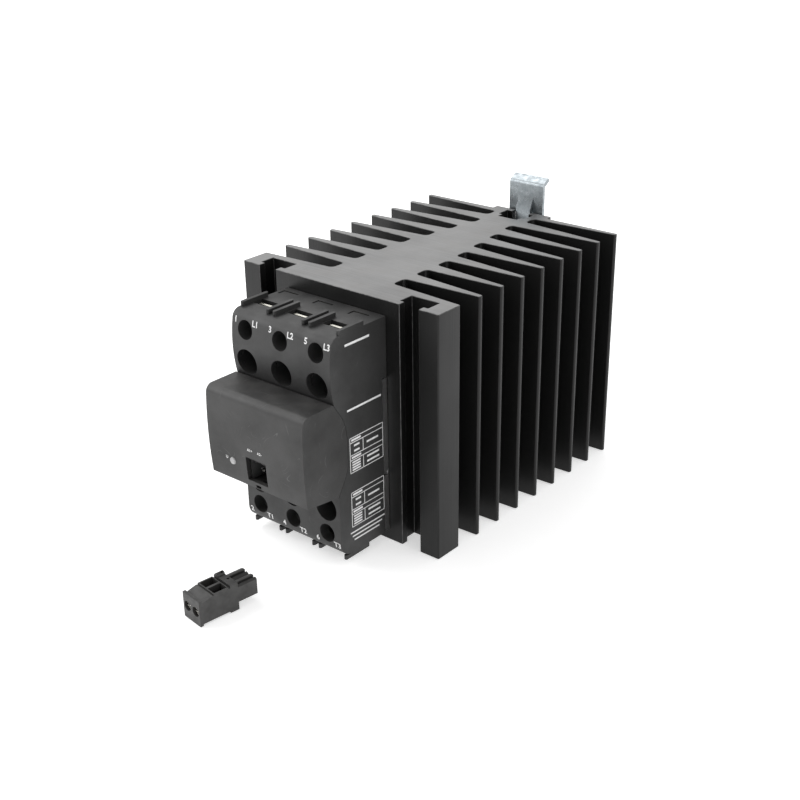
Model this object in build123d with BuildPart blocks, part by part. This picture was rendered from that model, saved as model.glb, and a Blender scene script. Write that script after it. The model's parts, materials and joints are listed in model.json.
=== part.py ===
from build123d import *
import os

# Three-pole solid state relay on a finned heat sink, with its loose control plug.
# Millimetres. +Z up, +X right seen from the front, +Y towards the DIN rail.
# The origin is on the heat sink's bottom end, at the centre of its footprint.

# ---------------------------------------------------------------- driving dimensions
# Heat sink extrusion
sink_height = 100.0
sink_depth = 122.5
pad_y = -sink_depth / 2            # plane of the mounting pad
arm_half = 49.05                   # outside of the front arms
fin_half = 49.5                    # fin tips
slot_in_x, slot_out_x = 29.1, 42.0  # T-slot side walls
lip_in_x, lip_out_x = 31.15, 40.0  # T-slot mouth
lip_depth, slot_depth = 3.0, 9.7
web_tip_depth = 12.7
fin_count = 8
fin_pitch = 13.35
first_fin = 24.6                   # depth of the first fin's middle at its tip
fin_tip = 2.0
taper_front, taper_back = 0.041, 0.093
core_half = [15.4, 15.2, 15.1, 14.0, 11.8, 10.0, 7.9, 10.0]
boss_half = 14.4
channel_mouth, channel_wide, channel_inner = 4.2, 6.8, 4.8
channel_lip, channel_floor, channel_step = 119.8, 110.0, 113.2

# Relay body, depths measured forwards from the pad
half_width = 24.75
body_top, body_bottom = 94.1, 4.5
wall = 1.8
pole_pitch = 17.8
pole_x = [-pole_pitch, 0.0, pole_pitch]
plate_front = 2.8                  # front of the base plate
plate_edge_top = 70.0              # the plate's edge shows below this height
hole_radius = 3.75                 # driver holes
well_radius, tube_radius = 5.15, 6.0
window_half, window_back, window_front = 5.8, 15.3, 20.0
bay_front = 23.6
cup_back = 16.4                    # back of the middle wells, in front of the middle busbars
seam_gap = 0.15

# Power clamps
bar_back, bar_front, bar_hole = 13.6, 15.1, 2.75
nut_back, nut_half, nut_half_height = 9.8, 5.6, 4.0
screw_tip, screw_radius, screw_bore = 8.2, 2.45, 2.5
presser_back, presser_front = 17.6, 18.8
presser_half, presser_half_height, presser_hole = 4.2, 4.6, 2.65
presser_lip_front = 19.7
tongue_inset = 0.4                 # the tongue ends this far inside the window
head_back, head_front, head_radius = 18.9, 21.3, 3.4

# Power stage
tile_x = [-15.2, 0.0, 15.2]
tile_half = 7.3
tile_low, tile_high = 33.5, 65.5
tile_front, copper_front, die_front = 3.43, 3.73, 4.13
die_side = 8.0

# Control side
board_back, board_front = 27.0, 28.6
post_places = [(x, z) for x in (-19.5, 19.5) for z in (40.0, 62.0)]
socket_half, socket_low, socket_high = 5.2, 35.7, 45.4
arch_radius, arch_x, arch_z = 4.0, 2.65, 37.9
pin_x, pin_z = 2.54, 38.0
lens_x, lens_z, lens_radius = -12.5, 41.3, 1.5

# DIN rail clip
clip_half, clip_thick = 8.75, 1.5
strip_half = 3.7
rivet_z = (76.3, 79.0)
rail_low, rail_high = 32.5, 67.5
hook_grip = 3.5                    # height of rail edge behind each tongue
tongue_step = 1.2
latch_gap, handle_gap = 0.3, 1.3
latch_top = 112.0
latch_lip = 2.9                    # how far the thumb lip rises
spring_low, spring_high = 80.0, 92.0

# Control plug, lying on the floor in front, turned about Z
plug_corner = (11.52, -86.7 + pad_y)
plug_turn = -8.0
plug_pitch = 5.08
plug_width = 2 * plug_pitch
plug_length = 16.0
plug_deck, plug_face_top, plug_flange = 10.9, 10.3, 11.3
insertion_low = 3.9                # underside of the insertion part
plug_hump = 9.9                    # top of the insertion part
plug_front = -0.7                  # front face, before the plug is turned
plug_screw_z = 5.3

os.makedirs("parts", exist_ok=True)


# ---------------------------------------------------------------- helpers
def depth(d):
    """Y of a place that lies d in front of the pad."""
    return pad_y - d


def block(x, y, z, mode=Mode.ADD):
    """Box from its low and high values along each axis."""
    with Locations(((x[0] + x[1]) / 2, (y[0] + y[1]) / 2, (z[0] + z[1]) / 2)):
        Box(abs(x[1] - x[0]), abs(y[1] - y[0]), abs(z[1] - z[0]), mode=mode)


def slab(x, d, z, mode=Mode.ADD):
    """Box whose Y extent is given as depths in front of the pad."""
    block(x, (depth(d[1]), depth(d[0])), z, mode)


def rod(x, d, z, radius, mode=Mode.ADD):
    """Cylinder along Y between two depths in front of the pad."""
    with Locations((x, depth((d[0] + d[1]) / 2), z)):
        Cylinder(radius, abs(d[1] - d[0]), rotation=(90, 0, 0), mode=mode)


def side_points(pairs):
    """(depth, z) pairs as points of the YZ plane."""
    return [(depth(d), z) for d, z in pairs]


def save(piece, name):
    """Label the finished piece and write its file."""
    piece.part.label = name
    export_step(piece.part, f"parts/{name}.step")


# ---------------------------------------------------------------- heat sink
def sink_half_outline():
    """Right half of the extrusion's outline, as (x, y)."""
    points = [(0, 0), (lip_in_x, 0), (lip_in_x, lip_depth), (slot_in_x, lip_depth),
              (slot_in_x, slot_depth), (slot_out_x, slot_depth), (slot_out_x, lip_depth),
              (lip_out_x, lip_depth), (lip_out_x, 0), (arm_half, 0), (arm_half, web_tip_depth)]
    web_root = web_tip_depth + 0.075 * (arm_half - core_half[0])
    points.append((core_half[0], web_root))
    for k in range(fin_count):
        middle = first_fin + fin_pitch * k
        reach = fin_half - core_half[k]
        points.append((core_half[k], middle - fin_tip / 2 - taper_front * reach))
        points.append((fin_half, middle - fin_tip / 2))
        points.append((fin_half, middle + fin_tip / 2))
        if k < fin_count - 1:
            reach = fin_half - core_half[k + 1]
            points.append((core_half[k + 1], middle + fin_tip / 2 + taper_back * reach))
    last_back = first_fin + fin_pitch * (fin_count - 1) + fin_tip / 2
    points += [(boss_half, last_back + 0.2), (boss_half, sink_depth), (channel_mouth, sink_depth),
               (channel_mouth, channel_lip), (channel_wide, channel_lip), (channel_wide, channel_step),
               (channel_inner, channel_step), (channel_inner, channel_floor), (0, channel_floor)]
    return [(x, y + pad_y) for x, y in points]


outline = sink_half_outline()
with BuildPart() as heatsink:
    with BuildSketch(Plane.XY) as section:
        with BuildLine():
            Polyline(*outline, *[(-x, y) for x, y in reversed(outline[1:-1])], close=True)
        make_face()
        roots = [v for v in section.vertices()
                 if abs(v.X) < core_half[0] + 0.1 and pad_y + web_tip_depth < v.Y < pad_y + 116.5
                 and abs(v.X) > channel_wide + 0.5]
        fillet(roots, 2.0)
        tips = [v for v in section.vertices() if abs(v.X) > fin_half - 0.1]
        fillet(tips, 0.8)
        arm_corners = [v for v in section.vertices()
                       if fin_half - 0.1 > abs(v.X) > arm_half - 0.1 and v.Y < pad_y + 20]
        fillet(arm_corners, 0.6)
        boss_corners = [v for v in section.vertices()
                        if abs(abs(v.X) - boss_half) < 0.1 and v.Y > pad_y + sink_depth - 1]
        fillet(boss_corners, 0.8)
    extrude(amount=sink_height)
    # Tapped holes for the relay's four screws
    for x in (pole_x[0], pole_x[2]):
        for z in (24.0, 74.7):
            rod(x, (-12.0, 1.0), z, 2.0, Mode.SUBTRACT)
save(heatsink, "heatsink")

# ---------------------------------------------------------------- rear channel and DIN clip
back_y = pad_y + sink_depth


# Sliding latch: a handle above the heat sink, a strip down the channel, a tongue behind the rail
strip_y = pad_y + 118.2            # front face of the strip inside the channel
handle_low = 98.6
neck_y = pad_y + 121.6             # front face of the strip where it leaves the channel
neck_steps = [(neck_y, 101.2), (neck_y, 96.6), (strip_y, 91.6)]
neck_high = 106.2
handle_y = back_y + handle_gap
tongue_y = back_y + latch_gap + tongue_step
bend_drop = 0.5                    # keeps the strip's thickness where it slopes
with BuildPart() as din_latch:
    with BuildSketch(Plane.YZ.offset(-strip_half)):
        with BuildLine():
            Polyline((handle_y, neck_high + 0.5), (handle_y, neck_high), *neck_steps, (strip_y, 74.2),
                     (tongue_y, 68.6), (tongue_y, 66.0), (tongue_y + clip_thick, 66.0),
                     (tongue_y + clip_thick, 69.3), (strip_y + clip_thick, 74.9),
                     *[(y + clip_thick, z - bend_drop) for y, z in reversed(neck_steps)],
                     (handle_y + clip_thick, neck_high - bend_drop),
                     (handle_y + clip_thick, neck_high + 0.5), close=True)
        make_face()
    extrude(amount=2 * strip_half)
    with BuildSketch(Plane.YZ.offset(-clip_half)):
        with BuildLine():
            Polyline((handle_y, handle_low), (handle_y, latch_top - 0.4), (handle_y + 0.3, latch_top + 0.5),
                     (handle_y + 0.9, latch_top + 1.2), (handle_y + 4.2, latch_top + latch_lip),
                     (handle_y + 4.7, latch_top + latch_lip - 1.4), (handle_y + 1.9, latch_top - 0.2),
                     (handle_y + clip_thick, latch_top - 0.8), (handle_y + clip_thick, handle_low),
                     close=True)
        make_face()
    extrude(amount=2 * clip_half)
    block((-clip_half, clip_half), (tongue_y, tongue_y + clip_thick), (rail_high - hook_grip, 68.0))
    fillet(din_latch.edges().filter_by(Axis.Y).group_by(Axis.Z)[0], 1.0)
    for z in rivet_z:
        with Locations((0, strip_y + 1.0, z)):
            Cylinder(1.0, 4, rotation=(90, 0, 0), mode=Mode.SUBTRACT)
save(din_latch, "din_latch")

# Runner: a block that slides in the channel, riveted to the strip, with a seat for the spring
with BuildPart() as latch_runner:
    block((-6.4, 6.4), (pad_y + channel_step + 0.4, strip_y), (74.6, spring_low))
    block((-4.4, 4.4), (pad_y + channel_floor + 0.4, pad_y + channel_step + 0.4), (74.6, spring_low))
    for z in rivet_z:
        with Locations((0, strip_y + clip_thick / 2, z)):
            Cylinder(1.0, clip_thick, rotation=(90, 0, 0))
        with Locations((0, strip_y + clip_thick + 0.3, z)):
            Cylinder(1.3, 0.6, rotation=(90, 0, 0))
save(latch_runner, "latch_runner")

# Stop pressed into the channel's inner groove, above the spring
with BuildPart() as spring_stop:
    block((-6.4, 6.4), (pad_y + channel_step, strip_y - 0.4), (spring_high, 96.5))
    block((-channel_inner, channel_inner), (pad_y + channel_floor, pad_y + channel_step),
          (spring_high, 96.5))
save(spring_stop, "spring_stop")

spring_y = pad_y + 113.4
spring_wire = 0.35
spring_turns = 5
with BuildPart() as latch_spring:
    with BuildLine():
        coil = Helix(pitch=(spring_high - spring_low - 1.0) / spring_turns,
                     height=spring_high - spring_low - 1.0, radius=2.1,
                     center=(0, spring_y, spring_low + 0.5))
    with BuildSketch(Plane(origin=coil @ 0, z_dir=coil % 0)):
        Circle(spring_wire)
    sweep(path=coil)
save(latch_spring, "latch_spring")

# Fixed hook plate below the rail; its end steps back and reaches behind the rail's edge
hook_y = back_y + tongue_step
with BuildPart() as din_hook:
    with BuildSketch(Plane.YZ.offset(-clip_half)):
        with BuildLine():
            Polyline((back_y, 6.0), (back_y, rail_low - 1.8), (hook_y, rail_low - 0.6),
                     (hook_y, rail_low + hook_grip), (hook_y + clip_thick, rail_low + hook_grip),
                     (hook_y + clip_thick, rail_low - 1.1), (back_y + clip_thick, rail_low - 2.3),
                     (back_y + clip_thick, 6.0), close=True)
        make_face()
    extrude(amount=2 * clip_half)
    fillet(din_hook.edges().filter_by(Axis.Y).group_by(Axis.Z)[-1], 1.0)
    for z in (12.0, 22.0):
        with Locations((0, back_y + 1.0, z)):
            Cylinder(2.1, 6, rotation=(90, 0, 0), mode=Mode.SUBTRACT)
save(din_hook, "din_hook")

with BuildPart() as channel_nuts:
    for z in (12.0, 22.0):
        block((-6.5, 6.5), (pad_y + channel_lip - 3.2, pad_y + channel_lip), (z - 4.5, z + 4.5))
        with Locations((0, pad_y + channel_lip - 1.6, z)):
            Cylinder(1.98, 6, rotation=(90, 0, 0), mode=Mode.SUBTRACT)
save(channel_nuts, "channel_nuts")

with BuildPart() as hook_screws:
    for z in (12.0, 22.0):
        with Locations((0, back_y + clip_thick + 1.2, z)):
            Cylinder(3.8, 2.4, rotation=(90, 0, 0))
        with Locations((0, back_y - 2.0, z)):
            Cylinder(1.95, 7.0, rotation=(90, 0, 0))
        block((-3.9, 3.9), (back_y + clip_thick + 1.4, back_y + clip_thick + 3), (z - 0.5, z + 0.5),
              Mode.SUBTRACT)
save(hook_screws, "hook_screws")

# ---------------------------------------------------------------- relay base
with BuildPart() as thermal_pad:
    slab((-24.4, 24.4), (0.0, 0.2), (5.2, 93.4))
    for x in (pole_x[0], pole_x[2]):
        for z in (24.0, 74.7):
            rod(x, (-1, 1), z, 2.3, Mode.SUBTRACT)
save(thermal_pad, "thermal_pad")

with BuildPart() as base_plate:
    slab((-22.8, 22.8), (0.2, plate_front), (5.0, 92.2))
    slab((-half_width, half_width), (0.2, plate_front), (5.0, plate_edge_top - 0.3))
    for side in (-1, 1):
        slab((side * 24.1, side * 25.0), (0, 3), (29.4, 31.0), Mode.SUBTRACT)
    for x in (pole_x[0], pole_x[2]):
        for z in (24.0, 74.7):
            rod(x, (-1, 4), z, 2.2, Mode.SUBTRACT)
save(base_plate, "base_plate")

# ---------------------------------------------------------------- housing
# The seam between housing and cover, from top to bottom: straight, curved, straight, curved, straight
seam_top, seam_low = (29.2, 68.4), (28.2, 31.0)


def seam_lines(shift, top=seam_top, low=seam_low):
    """The seam as lines of the active BuildLine, moved forwards by shift."""
    a, b, mid1 = (25.0, 62.0), (22.7, 52.5), (23.4, 57.4)
    c, d, mid2 = (22.7, 43.5), (25.0, 36.4), (23.4, 39.6)
    moved = [(x + shift, z) for x, z in (top, a, mid1, b, c, mid2, d, low)]
    top, a, mid1, b, c, mid2, d, low = side_points(moved)
    Line(top, a)
    ThreePointArc(a, mid1, b)
    Line(b, c)
    ThreePointArc(c, mid2, d)
    Line(d, low)


# Each end of the body: direction outwards, driver hole and well heights, outer wall
ends = [{"sign": 1, "hole_z": 87.5, "well_z": 74.7, "face": body_top},
        {"sign": -1, "hole_z": 13.4, "well_z": 24.0, "face": body_bottom}]


def span(z0, z1):
    """Two heights, lower first."""
    return (min(z0, z1), max(z0, z1))


with BuildPart() as housing:
    with BuildSketch(Plane.YZ.offset(-half_width)):
        with BuildLine():
            gap = seam_gap / 2
            # Round upper shoulder, slightly bulging front, seam, front below the cover, round lower edge
            start, shoulder, brow = side_points([(25.6, body_top), (28.7, 92.9), (29.8, 90.3)])
            Line(side_points([(0.3, body_top)])[0], start)
            ThreePointArc(start, shoulder, brow)
            seam_start = side_points([(seam_top[0] - gap, seam_top[1])])[0]
            seam_end = side_points([(seam_low[0] - gap, seam_low[1])])[0]
            ThreePointArc(brow, side_points([(30.6, 80.0)])[0], seam_start)
            seam_lines(-gap)
            chin, turn, sole = side_points([(28.1, 10.5), (26.34, 6.26), (22.1, body_bottom)])
            Line(seam_end, chin)
            ThreePointArc(chin, turn, sole)
            Polyline(sole, *side_points([(0.3, body_bottom), (0.3, body_top)]))
        make_face()
    extrude(amount=2 * half_width)
    # The base plate's edge takes the place of the wall low on the sides
    slab((-30, 30), (0, plate_front), (0, plate_edge_top), Mode.SUBTRACT)
    slab((-22.9, 22.9), (0, plate_front), (plate_edge_top - 1, body_top - wall), Mode.SUBTRACT)
    # Common chamber between the two rows of terminals
    with BuildSketch(Plane.YZ.offset(-half_width + wall)):
        with BuildLine():
            top, low = (26.9, 67.2), (26.2, 32.5)
            upper, lower = side_points([top, low])
            seam_lines(-wall, (top[0] + wall, top[1]), (low[0] + wall, low[1]))
            Polyline(lower, *side_points([(26.2, 18.9), (0, 18.9), (0, 80.5), (28.6, 80.5)]), upper)
        make_face()
    extrude(amount=2 * (half_width - wall), mode=Mode.SUBTRACT)
    for end in ends:
        sign, well_z = end["sign"], end["well_z"]
        inner_face = end["face"] - sign * wall
        for x in pole_x:
            # Clamp bay, wire window, driver hole
            slab((x - window_half, x + window_half), (0, bay_front),
                 span(well_z + sign * 4.5, inner_face), Mode.SUBTRACT)
            slab((x - window_half, x + window_half), (window_back, window_front),
                 span(inner_face - sign, end["face"] + sign * 3), Mode.SUBTRACT)
            rod(x, (bay_front - 1, 33), end["hole_z"], hole_radius, Mode.SUBTRACT)
            # Tube around each well; the middle ones are shallow cups
            rod(x, (plate_front if x else cup_back, 27.5), well_z, tube_radius)
            rod(x, (0 if x else cup_back + 1.2, 33), well_z, well_radius, Mode.SUBTRACT)
            # L-shaped slit behind the window
            through = span(inner_face - sign, end["face"] + sign)
            slab((x - 5.65, x - 4.75), (3.35, 7.0), through, Mode.SUBTRACT)
            slab((x - 5.65, x + 2.2), (3.35, 4.25), through, Mode.SUBTRACT)
        for side in (-1, 1):
            # Pocket between neighbouring bays, and the way for the outer busbars
            slab((side * 7.0, side * 10.8), (0, 26.0), span(well_z + sign * 4.5, inner_face), Mode.SUBTRACT)
            slab((side * 7.2, side * 12.2), (bar_back - 0.3, bar_front + 0.3),
                 span(well_z + sign * 4.5, well_z + sign * 10.0), Mode.SUBTRACT)
        # Ribs beside each window
        for x in (-24.0, -10.6, -7.2, 7.2, 10.6, 24.0):
            low, high = span(end["face"], end["face"] + sign * 1.8)
            with BuildSketch(Plane.XY.offset(low)):
                with Locations((x, depth(18.65))):
                    SlotOverall(13.7, 1.5, rotation=90)
            extrude(amount=high - low)
    # Posts that carry the control board, with a nib through its holes
    for x, z in post_places:
        rod(x, (21.5, board_back), z, 2.0)
        rod(x, (board_back, board_front + 0.8), z, 1.0)
    # Holes for the gate pins
    for x in tile_x:
        for dx, z in ((0.5, 56.0), (-0.5, 43.0)):
            rod(x + dx, (15, 30), z, 0.8, Mode.SUBTRACT)
save(housing, "housing")

# ---------------------------------------------------------------- front cover
cover_top, cover_bottom = 69.0, 33.1
cover_wall = 1.6


with BuildPart() as front_cover:
    with BuildSketch(Plane.YZ.offset(-half_width)) as cover_section:
        with BuildLine():
            front_low, front_high = (44.8, cover_bottom), (45.2, cover_top)
            gap = seam_gap / 2
            # The front bulges by about a millimetre
            ThreePointArc(*side_points([front_low, (45.9, 51.0), front_high]))
            Polyline(*side_points([front_high, (29.8 + gap, cover_top), (seam_top[0] + gap, seam_top[1])]))
            seam_lines(gap)
            Line(*side_points([(seam_low[0] + gap, seam_low[1]), front_low]))
        make_face()
        corners = cover_section.vertices().sort_by(Axis.X)[:2].sort_by(Axis.Y)
        fillet(corners[1], 3.2)
        fillet(corners[0], 1.0)
    extrude(amount=2 * half_width)
    # Hollow, open at the back
    with BuildSketch(Plane.YZ.offset(-half_width + cover_wall)):
        with BuildLine():
            Polyline(*side_points([(43.2, 34.8), (44.2, 51.0), (43.2, 64.6), (40.4, 67.4), (20.0, 67.4),
                                   (20.0, 33.2), (29.0, 33.2)]), close=True)
        make_face()
    extrude(amount=2 * (half_width - cover_wall), mode=Mode.SUBTRACT)
    slab((-socket_half, socket_half), (40, 50), (socket_low, socket_high), Mode.SUBTRACT)
    slab((-1.25, 1.25), (40, 50), (33.45, 34.65), Mode.SUBTRACT)
    rod(lens_x, (40, 50), lens_z, lens_radius + 0.1, Mode.SUBTRACT)
save(front_cover, "front_cover")

# ---------------------------------------------------------------- control side
with BuildPart() as control_board:
    slab((-21.5, 21.5), (board_back, board_front), (37.0, 64.0))
    for x, z in post_places:
        rod(x, (25, 30), z, 1.1, Mode.SUBTRACT)
    for x in tile_x:
        for dx, z in ((0.5, 56.0), (-0.5, 43.0)):
            rod(x + dx, (25, 30), z, 0.5, Mode.SUBTRACT)
save(control_board, "control_board")


def arched_opening(half, low, radius, centre_x, centre_z):
    """Sketch of a plain opening whose top edge is two round arches side by side."""
    with Locations((0, (low + centre_z) / 2)):
        Rectangle(2 * half, centre_z - low)
    for side in (-1, 1):
        with Locations((side * centre_x, centre_z)):
            Circle(radius)
    with Locations((0, centre_z)):
        Rectangle(2 * half, 2 * radius, mode=Mode.INTERSECT)
    with Locations((0, (low + centre_z) / 2)):
        Rectangle(2 * half, centre_z - low)


# Plane facing the front: its x is +X, its y is +Z, and it extrudes towards the viewer
def facing(d):
    """Plane parallel to the front, d in front of the pad."""
    return Plane(origin=(0, depth(d), 0), x_dir=(1, 0, 0), z_dir=(0, -1, 0))


with BuildPart() as control_header:
    slab((-6.0, 6.0), (board_front, 42.9), (34.9, 46.2))
    with BuildSketch(facing(31.5)):
        arched_opening(socket_half, socket_low, arch_radius, arch_x, arch_z)
    extrude(amount=20, mode=Mode.SUBTRACT)
    # Sloped lead-in above the arches
    with BuildSketch(Plane.YZ.offset(-socket_half)):
        with BuildLine():
            Polyline(*side_points([(42.9, 45.4), (41.2, 41.2), (45.0, 41.2), (45.0, 45.4)]), close=True)
        make_face()
    extrude(amount=2 * socket_half, mode=Mode.SUBTRACT)
    for side in (-1, 1):
        slab((side * pin_x - 0.5, side * pin_x + 0.5), (26, 33), (pin_z - 0.5, pin_z + 0.5), Mode.SUBTRACT)
save(control_header, "control_header")

with BuildPart() as header_pins:
    for side in (-1, 1):
        slab((side * pin_x - 0.5, side * pin_x + 0.5), (board_front, 40.0), (pin_z - 0.5, pin_z + 0.5))
    tip_edges = header_pins.faces().sort_by(Axis.Y)[:2].edges()
    chamfer(tip_edges, 0.25)
save(header_pins, "header_pins")

with BuildPart() as status_led:
    rod(lens_x, (board_front, 38.0), lens_z, 1.45)
    rod(lens_x, (board_front, board_front + 1.0), lens_z, 1.9)
save(status_led, "status_led")

with BuildPart() as led_lens:
    rod(lens_x, (38.2, 45.9), lens_z, lens_radius)
    fillet(led_lens.faces().sort_by(Axis.Y)[0].edges(), 0.6)
    rod(lens_x, (39.0, 40.2), lens_z, 2.4)
save(led_lens, "led_lens")

with BuildPart() as optocouplers:
    for x in tile_x:
        slab((x - 3.2, x + 3.2), (board_front + 0.5, board_front + 4.0), (52.5, 61.1))
        for side in (-1, 1):
            for k in range(3):
                z = 54.3 + 2.54 * k
                slab((x + side * 3.2, x + side * 3.9), (board_front, board_front + 2.0), (z - 0.3, z + 0.3))
save(optocouplers, "optocouplers")

with BuildPart() as board_parts:
    for x in (-17.0, -9.0, 9.0, 17.0):
        slab((x - 0.8, x + 0.8), (board_front, board_front + 0.6), (48.0, 51.2))
    with Locations((10.0, depth(board_front + 4.0), 42.0)):
        Cylinder(2.5, 8.0, rotation=(90, 0, 0))
    slab((-20.5, -16.5), (board_front, board_front + 2.2), (44.5, 47.5))
save(board_parts, "board_parts")

# ---------------------------------------------------------------- power stage
with BuildPart() as substrates:
    for x in tile_x:
        slab((x - tile_half, x + tile_half), (plate_front, tile_front), (tile_low, tile_high))
save(substrates, "substrates")

with BuildPart() as copper_pads:
    for x in tile_x:
        slab((x - 6.8, x + 6.8), (tile_front, copper_front), (34.5, 48.8))
        slab((x - 6.8, x + 6.8), (tile_front, copper_front), (50.2, 64.5))
save(copper_pads, "copper_pads")

with BuildPart() as thyristors:
    for x in tile_x:
        for dx, z in ((-2.4, 56.0), (2.4, 43.0)):
            slab((x + dx - die_side / 2, x + dx + die_side / 2), (copper_front, die_front),
                 (z - die_side / 2, z + die_side / 2))
save(thyristors, "thyristors")

with BuildPart() as cathode_clips:
    strap = die_front + 0.5
    for x in tile_x:
        for turn in (1, -1):
            # Each strap rests on its die and lands on the other copper pad
            slab((x - turn * 6.0, x - turn * 0.6), (die_front, strap),
                 span(49.5 + turn * 2.9, 49.5 + turn * 10.1))
            slab((x - turn * 6.0, x - turn * 2.4), (die_front, strap),
                 span(49.5 - turn * 2.9, 49.5 + turn * 3.0))
            slab((x - turn * 6.0, x - turn * 2.4), (copper_front, strap),
                 span(49.5 - turn * 2.9, 49.5 - turn * 1.4))
save(cathode_clips, "cathode_clips")

with BuildPart() as gate_pins:
    for x in tile_x:
        for dx, z in ((0.5, 56.0), (-0.5, 43.0)):
            rod(x + dx, (die_front, board_front), z, 0.4)
save(gate_pins, "gate_pins")

# ---------------------------------------------------------------- terminals
for end, row in zip(ends, ("line", "load")):
    sign, well_z, hole_z = end["sign"], end["well_z"], end["hole_z"]
    foot = span(49.5 + sign * 11.4, 49.5 + sign * 14.9)
    riser = span(49.5 + sign * 13.7, 49.5 + sign * 14.9)
    bar_end = hole_z + sign * 4.0
    jog = span(well_z + sign * 6.2, well_z + sign * 9.7)
    with BuildPart() as busbars:
        # Middle pole: straight from its tile to the clamp
        slab((-4.0, 4.0), (copper_front, copper_front + 1.2), foot)
        slab((-4.0, 4.0), (copper_front, bar_front), riser)
        slab((-4.0, 4.0), (bar_back, bar_front), span(49.5 + sign * 13.7, bar_end))
        for side in (-1, 1):
            # Outer poles: beside the well, then across to the clamp
            x = side * pole_pitch
            slab((side * 8.6, side * 20.0), (copper_front, copper_front + 1.2), foot)
            slab((side * 8.6, side * 11.6), (copper_front, bar_front), riser)
            slab((side * 8.6, side * 11.6), (bar_back, bar_front),
                 span(49.5 + sign * 13.7, jog[1 if sign > 0 else 0]))
            slab((side * 8.6, x + side * 4.0), (bar_back, bar_front), jog)
            slab((x - 4.0, x + 4.0), (bar_back, bar_front), span(well_z + sign * 6.2, bar_end))
        for x in pole_x:
            rod(x, (bar_back - 1, bar_front + 1), hole_z, bar_hole, Mode.SUBTRACT)
    save(busbars, f"{row}_busbars")

    # A tapped plate behind each busbar takes the clamp screw
    with BuildPart() as nut_plates:
        for x in pole_x:
            slab((x - nut_half, x + nut_half), (nut_back, bar_back),
                 (hole_z - nut_half_height, hole_z + nut_half_height))
            rod(x, (nut_back - 1, bar_back + 1), hole_z, screw_bore, Mode.SUBTRACT)
    save(nut_plates, f"{row}_nuts")

terminals = [(x, end) for end in ends for x in pole_x]
for number, (x, end) in enumerate(terminals, start=1):
    z, outward = end["hole_z"], end["sign"]
    # Plate that presses the wire onto the busbar: a tongue in the wire window, a lip at the other end
    with BuildPart() as clamp_plate:
        slab((x - presser_half, x + presser_half), (presser_back, presser_front),
             (z - presser_half_height, z + presser_half_height))
        fillet(clamp_plate.edges().filter_by(Axis.Y), 0.4)
        slab((x - 3.6, x + 3.6), (presser_front, presser_lip_front),
             span(z - outward * (presser_half_height - 0.8), z - outward * presser_half_height))
        slab((x - 3.6, x + 3.6), (presser_back, presser_front),
             span(z, end["face"] - outward * tongue_inset))
        rod(x, (presser_back - 1, presser_front + 1), z, presser_hole, Mode.SUBTRACT)
    save(clamp_plate, f"clamp_plate_{number}")

    with BuildPart() as clamp_screw:
        rod(x, (head_back, head_front), z, head_radius)
        fillet(clamp_screw.faces().sort_by(Axis.Y)[0].edges(), 0.4)
        rod(x, (screw_tip, head_back), z, screw_radius)
        slab((x - 3.5, x + 3.5), (head_front - 0.9, head_front + 1), (z - 0.45, z + 0.45), Mode.SUBTRACT)
        slab((x - 0.6, x + 0.6), (head_front - 1.3, head_front + 1), (z - 2.3, z + 2.3), Mode.SUBTRACT)
        slab((x - 2.3, x + 2.3), (head_front - 1.3, head_front + 1), (z - 0.6, z + 0.6), Mode.SUBTRACT)
    save(clamp_screw, f"clamp_screw_{number}")

# ---------------------------------------------------------------- fixing screws
with BuildPart() as module_screws:
    for x in (pole_x[0], pole_x[2]):
        for z in (24.0, 74.7):
            rod(x, (plate_front + 1.0, plate_front + 4.2), z, 3.6)
            rod(x, (-11.0, plate_front + 1.0), z, 1.95)
            with BuildSketch(facing(plate_front + 2.2)):
                with Locations((x, z)):
                    RegularPolygon(1.7, 6)
            extrude(amount=3, mode=Mode.SUBTRACT)
save(module_screws, "module_screws")

with BuildPart() as module_washers:
    for x in (pole_x[0], pole_x[2]):
        for z in (24.0, 74.7):
            rod(x, (plate_front, plate_front + 1.0), z, 4.6)
            rod(x, (plate_front - 1, plate_front + 2.0), z, 2.1, Mode.SUBTRACT)
save(module_washers, "module_washers")

# ---------------------------------------------------------------- control plug
# Built square to the axes, front face on y = 0 and right side on x = 0, then turned and set down
plug_place = Pos(plug_corner[0], plug_corner[1], 0) * Rot(0, 0, plug_turn)
plug_pole_x = [-1.5 * plug_pitch, -0.5 * plug_pitch]


def place_plug(piece, name):
    """Set a plug piece down where the plug lies, then write it."""
    placed = plug_place * piece.part
    placed.label = name
    export_step(placed, f"parts/{name}.step")


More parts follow.
